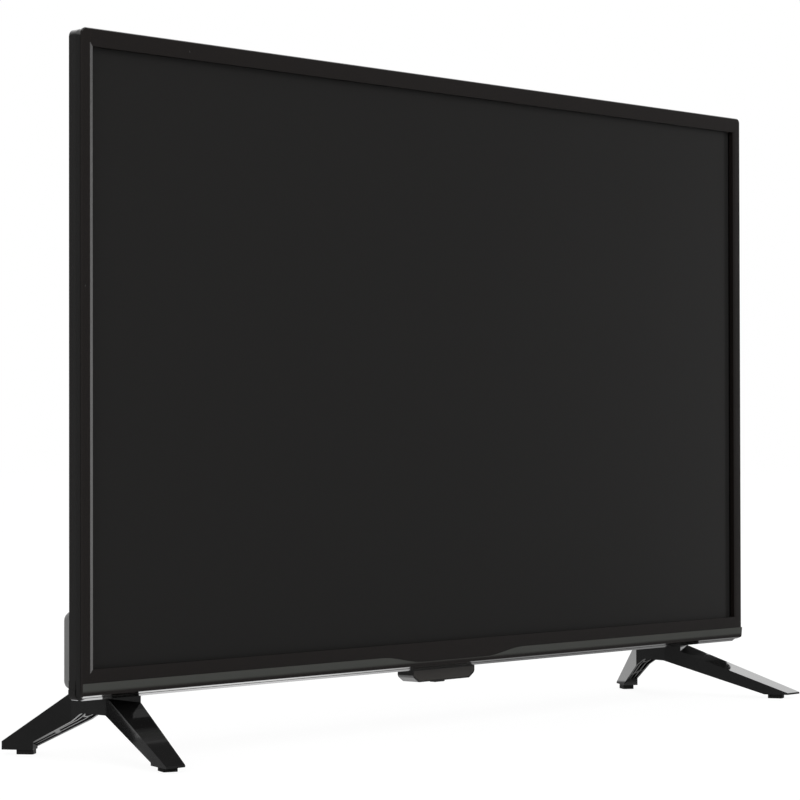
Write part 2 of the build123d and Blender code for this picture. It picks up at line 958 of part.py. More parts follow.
# Tab below the middle of the set: remote receiver behind a dark window, power key underneath
tab_front = 9.7
tab_deep = 14.8
tab_drop = 9.3
tab_half_top = 34.0
tab_half_bottom = 28.0
tab_knee = 4.0
tab_round = 3.0
tab_wall = 1.5
tab_floor = 1.2
window_rim = 0.8
window_thick = 1.5
key_width = 11.6
key_deep = 6.0
key_depth = 16.5
key_gap = 0.2
key_proud = 1.5
key_flange = 1.2
key_flange_thick = 0.6
key_cut = 0.8
key_bevel = 0.4
key_travel = 0.8
switch_slack = 0.1
switch_side = 6.0
switch_body = 1.9
plunger_height = 0.6
plunger_radius = 1.7
sensor_board_half = 25.0
sensor_board_gap = 1.0
sensor_board_thick = 1.0
rib_inset = 2.0
receiver_x = -14.0
receiver_width = 5.6
receiver_deep = 4.0
receiver_height = 3.4
receiver_round = 1.9

tab_bottom = floor_gap - tab_drop
tab_back = tab_front + tab_deep
tab_inner_floor = tab_bottom + tab_floor
key_top = tab_inner_floor + key_flange_thick
plunger_bottom = key_top + key_travel + switch_slack
sensor_board_bottom = plunger_bottom + plunger_height + switch_body


def tab_outline(inset, foot, head, depth, rounding):
    """Outline of the tab with slanting lower corners, narrowed by an inset, between two heights."""
    with BuildSketch(facing(depth)) as outline:
        with BuildLine():
            Polyline(
                (-tab_half_top + inset, head),
                (-tab_half_top + inset, foot + tab_knee),
                (-tab_half_bottom + inset, foot),
                (tab_half_bottom - inset, foot),
                (tab_half_top - inset, foot + tab_knee),
                (tab_half_top - inset, head),
                close=True,
            )
        make_face()
        lower_corners = outline.vertices().group_by(Axis.Y)[:2]
        fillet([corner for pair in lower_corners for corner in pair], rounding)
    return outline.sketch


with BuildPart() as sensor_housing:
    extrude(tab_outline(0, tab_bottom, floor_gap, tab_front, tab_round), amount=-tab_deep)
    window_foot = tab_bottom + window_rim
    window_head = floor_gap - window_rim
    window_round = tab_round - window_rim
    hollow_front = tab_front + window_thick
    extrude(
        tab_outline(window_rim, window_foot, window_head, tab_front, window_round),
        amount=-window_thick,
        mode=Mode.SUBTRACT,
    )
    extrude(
        tab_outline(tab_wall, tab_inner_floor, floor_gap, hollow_front, tab_round - tab_wall),
        amount=-(tab_deep - window_thick - tab_wall),
        mode=Mode.SUBTRACT,
    )
    for side in (-1, 1):
        rib_x = side * (sensor_board_half - rib_inset)
        extrude(
            sheet(
                rib_x - tab_wall / 2, rib_x + tab_wall / 2, tab_bottom, sensor_board_bottom, hollow_front
            ),
            amount=-(tab_deep - window_thick),
        )
    with BuildSketch(Plane.XY.offset(tab_bottom - cut_over)) as key_hole:
        with Locations((0, front_y + key_depth)):
            Rectangle(key_width + 2 * key_gap, key_deep + 2 * key_gap)
        chamfer(key_hole.vertices(), key_cut)
    extrude(amount=tab_floor + 2 * cut_over, mode=Mode.SUBTRACT)

save(sensor_housing, "sensor_housing")

with BuildPart() as sensor_window:
    pane_rim = window_rim + slip_gap
    extrude(
        tab_outline(
            pane_rim, tab_bottom + pane_rim, floor_gap - pane_rim, tab_front, tab_round - window_rim
        ),
        amount=-window_thick,
    )

save(sensor_window, "sensor_window")

with BuildPart() as power_key:
    with BuildSketch(Plane.XY.offset(tab_bottom - key_proud)) as key_outline:
        with Locations((0, front_y + key_depth)):
            Rectangle(key_width, key_deep)
        chamfer(key_outline.vertices(), key_cut)
    extrude(amount=key_proud + tab_floor + key_flange_thick)
    chamfer(power_key.edges().group_by(Axis.Z)[0], key_bevel)
    with BuildSketch(Plane.XY.offset(tab_inner_floor)):
        with Locations((0, front_y + key_depth)):
            Rectangle(key_width + 2 * key_flange, key_deep + 2 * key_flange)
    extrude(amount=key_flange_thick)

save(power_key, "power_key")

with BuildPart() as sensor_board:
    with BuildSketch(Plane.XY.offset(sensor_board_bottom)):
        with Locations((0, front_y + (hollow_front + tab_back - tab_wall) / 2)):
            Rectangle(
                2 * sensor_board_half, tab_deep - window_thick - tab_wall - 2 * sensor_board_gap
            )
    extrude(amount=sensor_board_thick)

save(sensor_board, "sensor_board")

with BuildPart() as key_switch:
    with BuildSketch(Plane.XY.offset(sensor_board_bottom)):
        with Locations((0, front_y + key_depth)):
            Rectangle(switch_side, switch_side)
    extrude(amount=-switch_body)
    with BuildSketch(Plane.XY.offset(sensor_board_bottom - switch_body)):
        with Locations((0, front_y + key_depth)):
            RegularPolygon(plunger_radius, round_sides)
    extrude(amount=-plunger_height)

save(key_switch, "key_switch")

with BuildPart() as remote_receiver:
    with BuildSketch(Plane.XY.offset(sensor_board_bottom)):
        with Locations((receiver_x, front_y + hollow_front + sensor_board_gap + receiver_deep)):
            Rectangle(receiver_width, receiver_deep, align=(Align.CENTER, Align.MAX))
    extrude(amount=-receiver_height)
    fillet(remote_receiver.edges().filter_by(Axis.Z).group_by(Axis.Y)[0], receiver_round)

save(remote_receiver, "remote_receiver")

# Posts on the pan's back: for the boards, for the wall mount and for the cover's screws
standoff_radius = 3.2
standoff_sides = 6
board_screw_radius = 1.5
board_inset = 5.0
main_board_left = -25.0
power_board_right = -35.0
vesa_post_radius = 5.0
vesa_bore_radius = 2.0
vesa_bore_depth = 12.0
cover_post_radius = 4.0
cover_screw_radius = 1.5
cover_screw_length = 8.0
cover_bore_depth = 8.8
cover_head_radius = 2.8
cover_head_height = 1.8
board_head_radius = 2.7
board_head_height = 1.8
board_screw_reach = 3.5

rise_low = board_bottom + board_inset
rise_high = board_top - board_inset
main_board_columns = [main_board_left + board_inset, tuner_left - 2 * board_inset]
power_board_columns = [-board_edge + board_inset, power_board_right - board_inset]
main_board_spots = [(x, z) for x in main_board_columns for z in (rise_low, rise_high)]
power_board_spots = [(x, z) for x in power_board_columns for z in (rise_low, rise_high)]
board_spots = main_board_spots + power_board_spots

with BuildPart() as board_standoffs:
    with BuildSketch(facing(pan_back)):
        with Locations(*board_spots):
            RegularPolygon(standoff_radius, standoff_sides)
            RegularPolygon(board_screw_radius + thread_gap, round_sides, mode=Mode.SUBTRACT)
    extrude(amount=-standoff_length)

save(board_standoffs, "board_standoffs")

with BuildPart() as board_screws:
    with BuildSketch(facing(board_back)):
        with Locations(*board_spots):
            RegularPolygon(board_head_radius, round_sides)
    extrude(amount=-board_head_height)
    with BuildSketch(facing(board_back)):
        with Locations(*board_spots):
            RegularPolygon(board_screw_radius, round_sides)
    extrude(amount=board_thick + board_screw_reach)

save(board_screws, "board_screws")

with BuildPart() as vesa_posts:
    with BuildSketch(facing(pan_back)):
        with Locations(*vesa_spots):
            RegularPolygon(vesa_post_radius, standoff_sides)
    extrude(amount=-(housing_depth - cover_wall - pan_back))
    with BuildSketch(facing(housing_depth - cover_wall)):
        with Locations(*vesa_spots):
            Circle(vesa_bore_radius)
    extrude(amount=vesa_bore_depth, mode=Mode.SUBTRACT)

save(vesa_posts, "vesa_posts")

with BuildPart() as cover_posts:
    with BuildSketch(facing(pan_back)):
        with Locations(*cover_screw_sites):
            RegularPolygon(cover_post_radius, standoff_sides)
    extrude(amount=-(back_depth - cover_wall - pan_back))
    with BuildSketch(facing(back_depth - cover_wall)):
        with Locations(*cover_screw_sites):
            RegularPolygon(cover_screw_radius + thread_gap, round_sides)
    extrude(amount=cover_bore_depth, mode=Mode.SUBTRACT)

save(cover_posts, "cover_posts")

with BuildPart() as cover_screws:
    head_seat = back_depth - screw_well_sink
    with BuildSketch(facing(head_seat)):
        with Locations(*cover_screw_sites):
            RegularPolygon(cover_head_radius, head_sides)
    extrude(amount=-cover_head_height)
    with BuildSketch(facing(head_seat)):
        with Locations(*cover_screw_sites):
            RegularPolygon(cover_screw_radius, round_sides)
    extrude(amount=cover_screw_length)

save(cover_screws, "cover_screws")


def board(left, right, spots):
    """Circuit board on the standoffs, drilled for its screws."""
    with BuildPart() as plate:
        extrude(sheet(left, right, board_bottom, board_top, board_front), amount=-board_thick)
        with BuildSketch(facing(board_front - cut_over)):
            with Locations(*spots):
                RegularPolygon(board_screw_radius + screw_gap, round_sides)
        extrude(amount=-(board_thick + 2 * cut_over), mode=Mode.SUBTRACT)
    return plate


main_board = board(main_board_left, board_edge, main_board_spots)
save(main_board, "main_board")

power_board = board(-board_edge, power_board_right, power_board_spots)
save(power_board, "power_board")


def block(spot, half_width, half_height, front, thick):
    """Box centred on a spot of the board, standing on a depth and growing backwards."""
    x, z = spot
    with BuildPart() as box:
        extrude(
            sheet(x - half_width, x + half_width, z - half_height, z + half_height, front), amount=-thick
        )
    return box.part


# Parts on the main board
chip_spot = (60.0, 152.0)
chip_half = 13.5
chip_thick = 2.2
sink_half = 18.0
sink_base = 2.5
sink_fin = 1.2
sink_fin_height = 9.5
sink_fins = 9
tuner_right = 138.0
tuner_half_height = 9.0
tuner_lid = 0.5
aerial_bore = 2.2
aerial_bore_depth = 7.0
hdmi_length = 12.0
usb_length = 14.0
socket_shell = 0.6
socket_hollow = 8.0
tongue_share = 0.25
tongue_inset = 1.8
jack_length = 12.0
jack_bore = 1.75
header_width = 18.0
header_height = 5.0
header_thick = 6.0
header_sites = [(20.0, 110.0), (0.0, 196.0), (60.0, 196.0)]
header_slot_share = 0.7
header_rim = 1.2

chip_back = board_back + chip_thick
fin_pitch = (2 * sink_half - sink_fin) / (sink_fins - 1)

with BuildPart() as main_chip:
    add(block(chip_spot, chip_half, chip_half, board_back, chip_thick))

save(main_chip, "main_chip")

with BuildPart() as heat_sink:
    add(block(chip_spot, sink_half, sink_half, chip_back, sink_base))
    with BuildSketch(facing(chip_back + sink_base)):
        with Locations(chip_spot):
            with GridLocations(fin_pitch, 0, sink_fins, 1):
                Rectangle(sink_fin, 2 * sink_half)
    extrude(amount=-sink_fin_height)

save(heat_sink, "heat_sink")

with BuildPart() as tuner_can:
    tuner_spot = ((tuner_left + tuner_right) / 2, recess_bottom + aerial_rise)
    add(
        block(tuner_spot, (tuner_right - tuner_left) / 2, tuner_half_height, board_back, tuner_thick)
    )
    chamfer(tuner_can.edges().group_by(Axis.Y)[-1], tuner_lid)

save(tuner_can, "tuner_can")

with BuildPart() as aerial_socket:
    with BuildSketch(Plane.YZ.offset(tuner_right)):
        with Locations(aerial_place):
            RegularPolygon(aerial_radius, head_sides)
    extrude(amount=socket_face - tuner_right)
    with BuildSketch(Plane.YZ.offset(socket_face)):
        with Locations(aerial_place):
            RegularPolygon(aerial_bore, round_sides)
    extrude(amount=-aerial_bore_depth, mode=Mode.SUBTRACT)

save(aerial_socket, "aerial_socket")


def plug_socket(places, width, thick, length):
    """Metal-shelled sockets that face right, each with a tongue inside."""
    with BuildPart() as shell:
        with BuildSketch(Plane.YZ.offset(socket_face)):
            with Locations(*places):
                Rectangle(thick, width)
        extrude(amount=-length)
        with BuildSketch(Plane.YZ.offset(socket_face)):
            with Locations(*places):
                Rectangle(thick - 2 * socket_shell, width - 2 * socket_shell)
        extrude(amount=-socket_hollow, mode=Mode.SUBTRACT)
        with BuildSketch(Plane.YZ.offset(socket_face - socket_hollow)):
            with Locations(*places):
                Rectangle(thick * tongue_share, width - tongue_inset - socket_shell)
        extrude(amount=socket_hollow - socket_shell)
    return shell


hdmi_sockets = plug_socket(hdmi_places, hdmi_width, hdmi_thick, hdmi_length)
save(hdmi_sockets, "hdmi_sockets")

usb_socket = plug_socket([usb_place], usb_width, usb_thick, usb_length)
save(usb_socket, "usb_socket")

with BuildPart() as audio_jack:
    with BuildSketch(Plane.YZ.offset(board_edge - jack_length)):
        with Locations(jack_place):
            Rectangle(2 * jack_radius, 2 * jack_radius)
    extrude(amount=jack_length)
    with BuildSketch(Plane.YZ.offset(board_edge)):
        with Locations(jack_place):
            RegularPolygon(jack_radius, head_sides)
    extrude(amount=socket_face - board_edge)
    with BuildSketch(Plane.YZ.offset(socket_face)):
        with Locations(jack_place):
            RegularPolygon(jack_bore, round_sides)
    extrude(amount=-jack_length, mode=Mode.SUBTRACT)

save(audio_jack, "audio_jack")

with BuildPart() as board_headers:
    with BuildSketch(facing(board_back)):
        with Locations(*header_sites):
            Rectangle(header_width, header_height)
    extrude(amount=-header_thick)
    with BuildSketch(facing(board_back + header_thick)):
        with Locations(*header_sites):
            Rectangle(header_width - 2 * header_rim, header_height - 2 * header_rim)
    extrude(amount=header_thick * header_slot_share, mode=Mode.SUBTRACT)

save(board_headers, "board_headers")

# Parts on the power board and the mains inlet
inlet_length = 17.0
inlet_hollow = 12.0
inlet_lobe = 4.3
inlet_lobe_radius = 4.7
inlet_pin_radius = 1.2
inlet_pin_length = 7.0
transformer_spot = (-75.0, 168.0)
core_half_x = 16.0
core_half_z = 13.0
core_thick = 20.0
bobbin_half_x = 11.0
bobbin_half_z = 17.0
bobbin_thick = 16.0
capacitor_radius = 10.0
capacitor_length = 27.0
capacitor_spot = (-112.0, 178.0)
small_capacitor_radius = 5.0
small_capacitor_length = 18.0
small_capacitor_spots = [(-58.0, 124.0), (-72.0, 124.0), (-86.0, 124.0)]
choke_spot = (-112.0, 130.0)
choke_half = 9.0
choke_thick = 18.0
choke_cut = 2.2

with BuildPart() as mains_inlet:
    with BuildSketch(Plane.YZ.offset(-socket_face)):
        with Locations(inlet_place):
            Rectangle(inlet_thick, inlet_width)
    extrude(amount=inlet_length)
    with BuildSketch(Plane.YZ.offset(-socket_face)):
        with Locations(inlet_place):
            with GridLocations(0, 2 * inlet_lobe, 1, 2):
                RegularPolygon(inlet_lobe_radius, head_sides)
    extrude(amount=inlet_hollow, mode=Mode.SUBTRACT)

save(mains_inlet, "mains_inlet")

with BuildPart() as inlet_pins:
    with BuildSketch(Plane.YZ.offset(-socket_face + inlet_hollow)):
        with Locations(inlet_place):
            with GridLocations(0, 2 * inlet_lobe, 1, 2):
                RegularPolygon(inlet_pin_radius, round_sides)
    extrude(amount=-inlet_pin_length)

save(inlet_pins, "inlet_pins")

with BuildPart() as transformer:
    add(block(transformer_spot, core_half_x, core_half_z, board_back, core_thick))
    add(block(transformer_spot, bobbin_half_x, bobbin_half_z, board_back, bobbin_thick))

save(transformer, "transformer")

with BuildPart() as capacitors:
    with BuildSketch(facing(board_back)):
        with Locations(capacitor_spot):
            RegularPolygon(capacitor_radius, head_sides)
    extrude(amount=-capacitor_length)
    with BuildSketch(facing(board_back)):
        with Locations(*small_capacitor_spots):
            RegularPolygon(small_capacitor_radius, head_sides)
    extrude(amount=-small_capacitor_length)

save(capacitors, "capacitors")

with BuildPart() as mains_choke:
    add(block(choke_spot, choke_half, choke_half, board_back, choke_thick))
    chamfer(mains_choke.edges().filter_by(Axis.Y), choke_cut)

save(mains_choke, "mains_choke")

# Loudspeakers that fire down through the slots, each on a foam gasket
speaker_length = 88.0
speaker_width = 32.0
plate_cut_share = 0.29
gasket_height = 2.0
gasket_wall = 3.0
speaker_flange = 2.0
basket_inset = 3.5
basket_rise = 9.0
basket_top_length = 36.0
basket_top_width = 24.0
magnet_radius = 12.0
magnet_height = 9.0
basket_wall = 1.4
cone_thick = 0.8
cone_gap = 0.4
cone_rise = 6.5
cone_top_length = 26.0
cone_top_width = 15.0

cover_floor = floor_gap + cover_wall
speaker_base = cover_floor + gasket_height
basket_top = speaker_base + speaker_flange + basket_rise
basket_hole_length = speaker_length - 2 * (basket_inset + basket_wall)
basket_hole_width = speaker_width - 2 * (basket_inset + basket_wall)
speaker_spots = [(side * speaker_x, front_y + speaker_depth) for side in (-1, 1)]


def plate(length, width, height, place, inset):
    """Plate outline with cut corners at a height and place, drawn in by an inset."""
    with BuildSketch(Plane.XY.offset(height)) as outline:
        with Locations(place):
            Rectangle(length - 2 * inset, width - 2 * inset)
        chamfer(outline.vertices(), (width - 2 * inset) * plate_cut_share)
    return outline.sketch


def hopper(foot, head, low, high, place):
    """Block between two heights that narrows upwards; foot and head give its length and width."""
    foot_length, foot_width = foot
    head_length, head_width = head
    with BuildPart() as block:
        with BuildSketch(Plane(origin=(*place, 0), x_dir=(1, 0, 0), z_dir=(0, -1, 0))):
            with BuildLine():
                Polyline(
                    (-foot_length / 2, low),
                    (foot_length / 2, low),
                    (head_length / 2, high),
                    (-head_length / 2, high),
                    close=True,
                )
            make_face()
        extrude(amount=foot_width, both=True)
        with BuildSketch(Plane(origin=(*place, 0), x_dir=(0, 1, 0), z_dir=(1, 0, 0))):
            with BuildLine():
                Polyline(
                    (-foot_width / 2, low),
                    (foot_width / 2, low),
                    (head_width / 2, high),
                    (-head_width / 2, high),
                    close=True,
                )
            make_face()
        extrude(amount=foot_length, both=True, mode=Mode.INTERSECT)
        extrude(plate(foot_length, foot_width, low, place, 0), amount=high - low, mode=Mode.INTERSECT)
    return block.part


def speaker(place):
    """Steel basket with its magnet, hollow below for the cone."""
    with BuildPart() as driver:
        extrude(plate(speaker_length, speaker_width, speaker_base, place, 0), amount=speaker_flange)
        add(
            hopper(
                (speaker_length - 2 * basket_inset, speaker_width - 2 * basket_inset),
                (basket_top_length, basket_top_width),
                speaker_base,
                basket_top,
                place,
            )
        )
        with BuildSketch(Plane.XY.offset(basket_top)):
            with Locations(place):
                RegularPolygon(magnet_radius, head_sides)
        extrude(amount=magnet_height)
        add(
            hopper(
                (basket_hole_length, basket_hole_width),
                (basket_top_length - 2 * basket_wall, basket_top_width - 2 * basket_wall),
                speaker_base,
                basket_top - basket_wall,
                place,
            ),
            mode=Mode.SUBTRACT,
        )
    return driver


speaker_left = speaker(speaker_spots[0])
save(speaker_left, "speaker_left")

speaker_right = speaker(speaker_spots[1])
save(speaker_right, "speaker_right")

with BuildPart() as speaker_cones:
    for place in speaker_spots:
        for trim, mode in ((0, Mode.ADD), (cone_thick, Mode.SUBTRACT)):
            cut = 2 * (cone_gap + trim)
            add(
                hopper(
                    (basket_hole_length - cut, basket_hole_width - cut),
                    (cone_top_length - 2 * trim, cone_top_width - 2 * trim),
                    speaker_base,
                    speaker_base + cone_rise - trim,
                    place,
                ),
                mode=mode,
            )

save(speaker_cones, "speaker_cones")

with BuildPart() as speaker_gaskets:
    for place in speaker_spots:
        extrude(plate(speaker_length, speaker_width, cover_floor, place, 0), amount=gasket_height)
        extrude(
            plate(speaker_length, speaker_width, cover_floor, place, gasket_wall),
            amount=gasket_height,
            mode=Mode.SUBTRACT,
        )

save(speaker_gaskets, "speaker_gaskets")
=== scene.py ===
# %% [markdown]
# A flat television on two splayed legs, dressed for a product picture.
# The packed model already holds every real piece at its real size, in metres, with X to the
# viewer's right, Y away from the viewer and Z up. This notebook gives each piece its finish,
# builds the studio round it and sets the camera. Nothing of the model is moved or reshaped.

# %% Load the packed model
import math

import bpy
from mathutils import Matrix, Vector


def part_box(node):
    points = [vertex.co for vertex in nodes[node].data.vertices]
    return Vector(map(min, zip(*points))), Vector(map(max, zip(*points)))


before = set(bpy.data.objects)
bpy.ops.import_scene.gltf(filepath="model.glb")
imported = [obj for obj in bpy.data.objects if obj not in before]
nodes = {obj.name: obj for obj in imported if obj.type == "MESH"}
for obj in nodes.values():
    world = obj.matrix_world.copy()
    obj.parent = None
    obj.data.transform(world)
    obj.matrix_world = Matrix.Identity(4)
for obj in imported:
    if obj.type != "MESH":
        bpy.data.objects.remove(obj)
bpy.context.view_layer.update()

# %% [markdown]
# The camera stands where the photographer's stood: to the left of the set, a little below the
# middle of the screen, and turned to the right. Its place was worked out from the corners of
# the bezel's opening, so the same long lens gives the same strong taper towards the right.
# Its rotation is built from a forward and a right direction. These are easier to check than
# three angles, whose result depends on the order in which they are applied.

# %% Set the camera
# angles are in radians, lens and sensor in millimetres, distances in metres
MILLI = 0.001
camera_place = Vector((-1581.62, -1379.42, 207.24)) * MILLI
camera_turn = 0.842714
camera_rise = 0.013353
camera_roll = -0.001931
lens_length = 129.697
sensor_width = 36.0
farthest_seen = 100.0

forward = Vector(
    (
        math.sin(camera_turn) * math.cos(camera_rise),
        math.cos(camera_turn) * math.cos(camera_rise),
        math.sin(camera_rise),
    )
)
level_right = Vector((math.cos(camera_turn), -math.sin(camera_turn), 0.0))
level_up = level_right.cross(forward)
right = level_right * math.cos(camera_roll) + level_up * math.sin(camera_roll)
up = level_up * math.cos(camera_roll) - level_right * math.sin(camera_roll)

camera_data = bpy.data.cameras.new("camera")
camera_data.lens = lens_length
camera_data.sensor_width = sensor_width
camera_data.clip_end = farthest_seen
camera = bpy.data.objects.new("camera", camera_data)
bpy.context.scene.collection.objects.link(camera)
camera.matrix_world = Matrix(
    (
        (right.x, up.x, -forward.x, camera_place.x),
        (right.y, up.y, -forward.y, camera_place.y),
        (right.z, up.z, -forward.z, camera_place.z),
        (0.0, 0.0, 0.0, 1.0),
    )
)
bpy.context.scene.camera = camera
bpy.context.scene.view_settings.view_transform = "Standard"
print("camera at", [round(v, 3) for v in camera_place], "lens", lens_length)

# %% [markdown]
# Every finish below is a small formula over the surface: noise for grain, masks for edges.
# Written with bare node calls such a formula is unreadable, so one class wraps a socket and
# lets plain arithmetic add the Math nodes. The reflected forms, such as the one for a number
# minus a socket, make 1 - mask work, which turns a mask round.

# %% Arithmetic on sockets
class Wire:
    """An output socket that can be added, multiplied and so on."""

    def __init__(self, tree, socket):
        self.tree = tree
        self.socket = socket

    def calculate(self, operation, first, second=0.0):
        """A Math node; first and second are sockets or plain numbers."""
        return self.tree.add("ShaderNodeMath", {"operation": operation}, {0: first, 1: second})

    def __add__(self, other):
        return self.calculate("ADD", self, other)

    def __radd__(self, other):
        return self.calculate("ADD", other, self)

    def __sub__(self, other):
        return self.calculate("SUBTRACT", self, other)

    def __rsub__(self, other):
        return self.calculate("SUBTRACT", other, self)

    def __mul__(self, other):
        return self.calculate("MULTIPLY", self, other)

    def __rmul__(self, other):
        return self.calculate("MULTIPLY", other, self)

    def __abs__(self):
        return self.calculate("ABSOLUTE", self)

    def either(self, other):
        """One where this mask or the other is one."""
        return self.calculate("MAXIMUM", self, other)

    def above(self, edge, softness):
        """Nought below an edge, one above it, with a soft step between."""
        settings = {"interpolation_type": "SMOOTHSTEP"}
        values = {"Value": self, "From Min": edge - softness, "From Max": edge + softness}
        return self.tree.add("ShaderNodeMapRange", settings, values)

    def ease(self, low, high):
        """Values from nought to one turned into values from low to high."""
        return self * (high - low) + low


print("besides arithmetic, a socket has:", [name for name in vars(Wire) if "_" not in name])

# %% [markdown]
# A second class owns a node tree and has one method that adds any other node: first its
# settings, then the values or links of its sockets. Its other methods are short names for the
# nodes that nearly every finish needs. They work on the set's own coordinates, in metres, so
# grain has its real size and is equally fine on a large piece and on a small one.

# %% Formulas over a surface
class Formula:
    """A node tree and the one method that adds nodes to it."""

    def __init__(self, tree):
        self.tree = tree
        tree.nodes.clear()

    def add(self, kind, settings=None, sockets=None, output=0):
        """A node of any kind: its settings are made first, then its sockets are filled."""
        node = self.tree.nodes.new(kind)
        for name, value in (settings or {}).items():
            setattr(node, name, value)
        for name, value in (sockets or {}).items():
            if isinstance(value, Wire):
                self.tree.links.new(value.socket, node.inputs[name])
            else:
                node.inputs[name].default_value = value
        return Wire(self, node.outputs[output]) if node.outputs else None

    def place(self):
        """Where a point lies in the set's own frame, in metres."""
        return self.add("ShaderNodeTexCoord", output="Object")

    def part(self, axis):
        """One coordinate of a point: 0, 1 or 2 for X, Y or Z."""
        return self.add("ShaderNodeSeparateXYZ", None, {0: self.place()}, axis)

    def facing(self, axis):
        """One component of the direction that the surface faces."""
        normal = self.add("ShaderNodeNewGeometry", output="Normal")
        return self.add("ShaderNodeSeparateXYZ", None, {0: normal}, axis)

    def stretch(self, scale):
        """The place, scaled for streaks: more than one squeezes a pattern, less stretches it."""
        settings = {"operation": "MULTIPLY"}
        return self.add("ShaderNodeVectorMath", settings, {0: self.place(), 1: scale})

    def noise(self, size, detail=3.0, roughness=0.5, place=None):
        """Soft random values round a half; size is that of one blotch, in metres."""
        values = {
            "Vector": place or self.place(),
            "Scale": 1.0 / size,
            "Detail": detail,
            "Roughness": roughness,
        }
        return self.add("ShaderNodeTexNoise", {"noise_dimensions": "3D"}, values)

    def cells(self, size, output="Distance"):
        """Distance to random points, or with the output Color a random colour for each cell."""
        values = {"Vector": self.place(), "Scale": 1.0 / size}
        return self.add("ShaderNodeTexVoronoi", None, values, output)

    def blend(self, share, first, second):
        """Mix of two colours. Its sockets go by number, because Mix has several with one name."""
        settings = {"data_type": "RGBA", "clamp_factor": True}
        return self.add("ShaderNodeMix", settings, {0: share, 6: first, 7: second}, 2)

    def bump(self, height, depth):
        """A surface direction from a height; depth is the relief's real height in metres."""
        return self.add("ShaderNodeBump", None, {"Height": height, "Strength": 1.0, "Distance": depth})


print("a formula can use:", [name for name in vars(Formula) if "_" not in name])

# %% [markdown]
# A colour is the share of red, green and blue light that a surface sends back, from 0 to 1.
# Nearly everything here is a grey, or a grey with a touch of warmth, so one short function
# writes such colours. Black plastic sends back only about a hundredth.

# %% Greys
def grey(value, warmth=0.0):
    """A neutral colour, or a slightly warmer one."""
    return (value * (1 + warmth), value, value * (1 - warmth), 1.0)


print("a warm black:", [round(v, 4) for v in grey(0.01, warmth=0.05)])

# %% [markdown]
# A finish is one Principled shader. Numbers that are the same all over go straight onto its
# sockets; only what changes over the surface is wired in, so that the finish can be baked.
# Many finishes need one mask alone, which moves colour, roughness and relief together, as grain
# does on a real surface: where it lies high it is lighter, duller or smoother, and raised.

# %% Helpers for a finish
def finish(write, **constants):
    """Make a material named after write, a function that returns what changes over it.

    The constants are names of sockets, with an underscore for each space.
    """
    material = bpy.data.materials.new(write.__name__)
    material.use_nodes = True
    formula = Formula(material.node_tree)
    sockets = {title.replace("_", " "): value for title, value in constants.items()}
    sockets.update(write(formula))
    shader = formula.add("ShaderNodeBsdfPrincipled", None, sockets)
    formula.add("ShaderNodeOutputMaterial", None, {"Surface": shader})
    return material


def dress(material, *names):
    """Give CAD pieces a finish by their material slots."""
    for name in names:
        for slot in nodes[name].material_slots:
            slot.material = material
    print(material.name, "on", ", ".join(names))


def grained(mask, dark, light, rough, relief=None):
    """Sockets of a finish that follows one mask; rough is its range, relief is in metres."""
    sockets = {"Base Color": mask.tree.blend(mask, dark, light), "Roughness": mask.ease(*rough)}
    if relief:
        sockets["Normal"] = mask.tree.bump(mask, relief)
    return sockets


print("slots to dress:", sum(len(piece.material_slots) for piece in nodes.values()))

# %% [markdown]
# The bezel is injection-moulded black plastic, polished like a piano lid. Up close such a
# surface is never perfect: it waves very slightly, like orange skin, and carries a few specks
# of dust. The waviness is a very shallow bump, the haze a small change of roughness. The chin
# stands a little proud of the bezel and is a shade greyer and greener, so its mask is a depth.

# %% Bezel finish
bezel_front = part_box("front_bezel")[0].y
chin_proud = 0.0008
chin_edge = bezel_front + chin_proud / 2
mask_edge = 0.0001
warm_black = (0.008, 0.0062, 0.0056, 1.0)
green_black = (0.056, 0.058, 0.053, 1.0)
dust_grey = grey(0.06)
dust_dullness = 0.4


def piano_black(f):
    chin = 1 - f.part(1).above(chin_edge, mask_edge)
    haze = f.noise(0.06, detail=2.0)
    peel = f.noise(0.0035, detail=2.0)
    speck = 1 - f.cells(0.011).above(0.045, 0.012)
    sparse = f.noise(0.03, detail=1.0).above(0.6, 0.05)
    dust = speck * sparse
    return {
        "Base Color": f.blend(dust, f.blend(chin, warm_black, green_black), dust_grey),
        "Roughness": haze.ease(0.06, 0.12) + dust * dust_dullness,
        "Normal": f.bump(peel, depth=0.000012),
    }


dress(finish(piano_black, Specular_IOR_Level=0.5), "front_bezel")

# %% [markdown]
# The screen is switched off. Its front film is treated so that lamps don't glare, which turns
# the black into a very even charcoal with hardly any shine. At the left and right edges a darker
# band is painted shade and painted reflection: it stands in for the shade in the bezel's recess
# and for the dark recess wall mirrored in the screen. That band is a mask on the place.

# %% Screen finish
# width and start of the band of painted shade along the screen's left and right edges
shade_band_width = 0.0038
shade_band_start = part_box("lcd_panel")[1].x - shade_band_width
charcoal = grey(0.0168, warmth=0.02)
# colour of the painted shade and reflection of the recess wall
painted_shade_black = grey(0.0016)


def dark_screen(f):
    # painted shade: one along the left and right edges, where the recess wall shades and is mirrored
    edge = abs(f.part(0)).above(shade_band_start, mask_edge)
    cloud = f.noise(0.25, detail=2.0)
    grain = f.noise(0.0006, detail=2.0)
    return {
        "Base Color": f.blend(edge, charcoal, painted_shade_black),
        "Roughness": cloud.ease(0.18, 0.22) + grain.ease(-0.01, 0.01),
        "Normal": f.bump(grain, depth=0.000004),
    }


dress(finish(dark_screen, Specular_IOR_Level=0.07), "lcd_panel")

# %% [markdown]
# The rear cover is moulded in one piece, yet it has two surfaces. The rim that runs round the
# bezel is polished like the bezel, and everything behind it comes from an etched part of the
# mould, which leaves a fine even grain. The border between them is a depth, so it is a mask on
# the place. Large soft blotches of roughness show where hands and packing foam have rubbed it.

# %% Cover finish
rim_depth = 0.0136
rim_end = bezel_front + chin_proud + rim_depth
rim_softness = 0.0002


